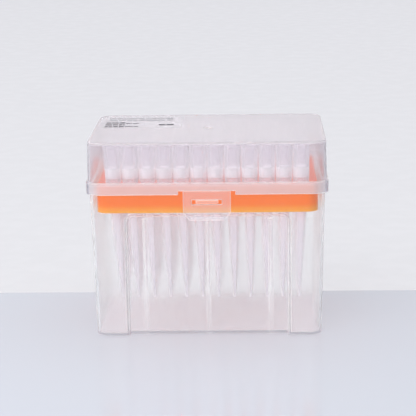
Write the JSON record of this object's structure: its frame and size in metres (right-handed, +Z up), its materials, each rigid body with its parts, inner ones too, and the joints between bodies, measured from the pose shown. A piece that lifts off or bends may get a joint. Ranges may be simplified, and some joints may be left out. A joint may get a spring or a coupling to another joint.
{
  "type": "pipette tip rack box",
  "caption": "Hinged clear box with a latch flap, an orange rack tray and rows of filter pipette tips standing in it, with a label on the lid.",
  "frame": {"origin": "centre of the base's underside", "axes": "+Z up, the latch and front face look towards -Y, +X to the right seen from the front"},
  "size_m": [0.1278, 0.0889, 0.1059],
  "materials": {
    "base_plastic": "natural polypropylene, translucent, satin outside",
    "lid_plastic": "clear polypropylene, glossy, faint haze",
    "tray_plastic": "orange polypropylene, satin",
    "tip_plastic": "natural polypropylene, translucent",
    "filter_plastic": "white porous polyethylene",
    "label_film": "clear film with grey print"
  },
  "bodies": {
    "box": {"base": "base_plastic", "tray": "tray_plastic", "tips_column_1": "tip_plastic", "tips_column_2": "tip_plastic", "tips_column_3": "tip_plastic", "tips_column_4": "tip_plastic", "tips_column_5": "tip_plastic", "tips_column_6": "tip_plastic", "tips_column_7": "tip_plastic", "tips_column_8": "tip_plastic", "tips_column_9": "tip_plastic", "tips_column_10": "tip_plastic", "tips_column_11": "tip_plastic", "tips_column_12": "tip_plastic", "filters_column_1": "filter_plastic", "filters_column_2": "filter_plastic", "filters_column_3": "filter_plastic", "filters_column_4": "filter_plastic", "filters_column_5": "filter_plastic", "filters_column_6": "filter_plastic", "filters_column_7": "filter_plastic", "filters_column_8": "filter_plastic", "filters_column_9": "filter_plastic", "filters_column_10": "filter_plastic", "filters_column_11": "filter_plastic", "filters_column_12": "filter_plastic"},
    "cover": {"lid": "lid_plastic", "label": "label_film"},
    "flap": {"latch": "lid_plastic"}
  },
  "joints": [
    {"name": "lid_hinge", "type": "hinge", "parent": "box", "child": "cover", "pos_m": [0, 0.0432, 0.079], "axis": [-1, 0, 0], "range_deg": [0, 110]},
    {"name": "latch_hinge", "type": "hinge", "parent": "cover", "child": "flap", "pos_m": [0, -0.0428, 0.0794], "axis": [-1, 0, 0], "range_deg": [0, 110]}
  ]
}
